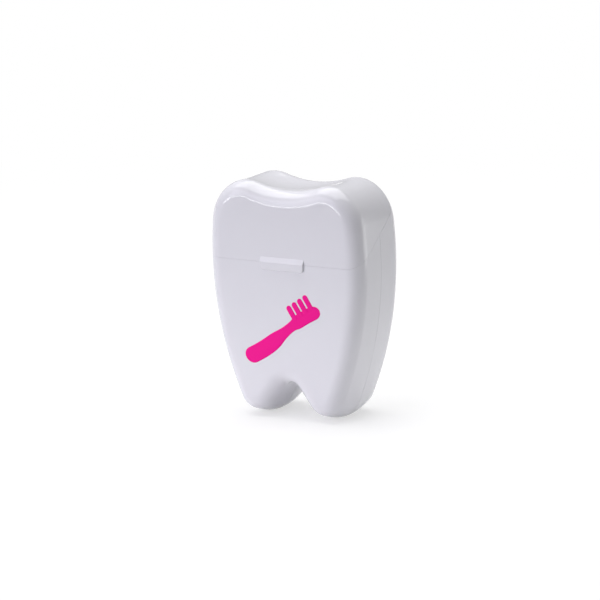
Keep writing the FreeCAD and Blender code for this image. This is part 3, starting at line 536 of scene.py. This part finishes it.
floorSizes = {
    "radius": 6.0, "hub": 0.0001, "rings": 24, "spokes": 64,
    "glow": 0.55, "shade": 0.5, "glowReach": (0.1, 0.35),
    "nearTone": 0.9, "farTone": 0.12, "toneReach": (0.06, 0.16), "mirror": 1.0,
}


def seenRay(tree, place, mirror):
    # One where the camera or glass looks at the surface, and the mirror share where a gloss does.
    path = put(tree, "ShaderNodeLightPath", place)
    share = put(tree, "ShaderNodeMath", (place[0] + 200, place[1] - 150), {"operation": "MULTIPLY"})
    share.inputs[1].default_value = mirror
    tree.links.new(path.outputs["Is Glossy Ray"], share.inputs[0])
    either = put(tree, "ShaderNodeMath", (place[0] + 200, place[1]), {"operation": "MAXIMUM"})
    tree.links.new(path.outputs["Is Camera Ray"], either.inputs[0])
    tree.links.new(path.outputs["Is Transmission Ray"], either.inputs[1])
    anyRay = put(tree, "ShaderNodeMath", (place[0] + 400, place[1]), {"operation": "MAXIMUM"})
    tree.links.new(either.outputs[0], anyRay.inputs[0])
    tree.links.new(share.outputs[0], anyRay.inputs[1])
    return anyRay.outputs[0]


def floorMaterial(sizes):
    # Pale sweep: a glow of its own plus a share of lit paint, so it stays white and still takes the shadow.
    material = bpy.data.materials.new("paleFloor")
    material.use_nodes = True
    tree = material.node_tree
    tree.nodes.remove(tree.nodes["Principled BSDF"])
    output = tree.nodes["Material Output"]
    where = put(tree, "ShaderNodeTexCoord", (-1100, 0))
    reach = put(tree, "ShaderNodeVectorMath", (-900, 0), {"operation": "LENGTH"})
    tree.links.new(where.outputs["Object"], reach.inputs[0])
    tone = put(tree, "ShaderNodeMapRange", (-700, 200), {"interpolation_type": "SMOOTHSTEP"})
    for socket, value in zip(range(1, 5), sizes["toneReach"] + (sizes["nearTone"], sizes["farTone"])):
        tone.inputs[socket].default_value = value
    tree.links.new(reach.outputs["Value"], tone.inputs["Value"])
    paint = put(tree, "ShaderNodeBsdfDiffuse", (-400, 200))
    tree.links.new(tone.outputs["Result"], paint.inputs["Color"])
    shade = put(tree, "ShaderNodeBsdfDiffuse", (-400, 0), {"Color": (sizes["shade"],) * 3 + (1,)})
    glow = put(tree, "ShaderNodeEmission", (-400, -150), {"Strength": sizes["glow"]})
    near = put(tree, "ShaderNodeAddShader", (-150, -50))
    tree.links.new(shade.outputs[0], near.inputs[0])
    tree.links.new(glow.outputs[0], near.inputs[1])
    far = put(tree, "ShaderNodeEmission", (-150, -200), {"Strength": 1})
    fade = put(tree, "ShaderNodeMapRange", (-450, -350), {"interpolation_type": "SMOOTHSTEP"})
    for socket, value in zip(range(1, 3), sizes["glowReach"]):
        fade.inputs[socket].default_value = value
    tree.links.new(reach.outputs["Value"], fade.inputs["Value"])
    sweep = put(tree, "ShaderNodeMixShader", (50, -100))
    tree.links.new(fade.outputs["Result"], sweep.inputs[0])
    tree.links.new(near.outputs[0], sweep.inputs[1])
    tree.links.new(far.outputs[0], sweep.inputs[2])
    choose = put(tree, "ShaderNodeMixShader", (250, 100))
    tree.links.new(seenRay(tree, (-600, 450), sizes["mirror"]), choose.inputs[0])
    tree.links.new(paint.outputs[0], choose.inputs[1])
    tree.links.new(sweep.outputs[0], choose.inputs[2])
    tree.links.new(choose.outputs[0], output.inputs["Surface"])
    return material


def makeFloor(sizes):
    # Disc: distance * (cos, sin) at the level of the lowest point, with rings that widen outwards.
    reach = sizes["radius"] * np.linspace(0.0, 1, sizes["rings"]) ** 2 + sizes["hub"]
    turn = np.linspace(0, 2 * np.pi, sizes["spokes"], endpoint=False)
    across, deep = reach[:, None] * np.cos(turn), reach[:, None] * np.sin(turn)
    points = np.stack([across, deep, np.full(across.shape, cadBox[0].z)], axis=-1).reshape(-1, 3)
    mesh = bpy.data.meshes.new("floor")
    mesh.from_pydata(points.tolist(), [], gridFaces(len(reach), len(turn), True)[:, ::-1].tolist())
    floor = bpy.data.objects.new("floor", mesh)
    bpy.context.scene.collection.objects.link(floor)
    mesh.materials.append(floorMaterial(sizes))


worldLook = {"ambient": (0.96, 0.96, 1.0), "strength": 0.1, "mirror": 0.3}


def makeWorld(look):
    world = bpy.data.worlds.new("studio")
    bpy.context.scene.world = world
    world.use_nodes = True
    tree = world.node_tree
    output = tree.nodes["World Output"]
    soft = tree.nodes["Background"]
    soft.inputs["Color"].default_value = look["ambient"] + (1,)
    soft.inputs["Strength"].default_value = look["strength"]
    white = put(tree, "ShaderNodeBackground", (0, -200), {"Color": (1, 1, 1, 1), "Strength": 1})
    choose = put(tree, "ShaderNodeMixShader", (250, 0))
    tree.links.new(seenRay(tree, (-600, 300), look["mirror"]), choose.inputs[0])
    tree.links.new(soft.outputs[0], choose.inputs[1])
    tree.links.new(white.outputs[0], choose.inputs[2])
    tree.links.new(choose.outputs[0], output.inputs["Surface"])


makeCamera(cameraView)
makeLamps(lampSettings)
makeFloor(floorSizes)
makeWorld(worldLook)
bpy.context.scene.view_settings.view_transform = "Standard"
print("stage: camera, lamps, floor, world")
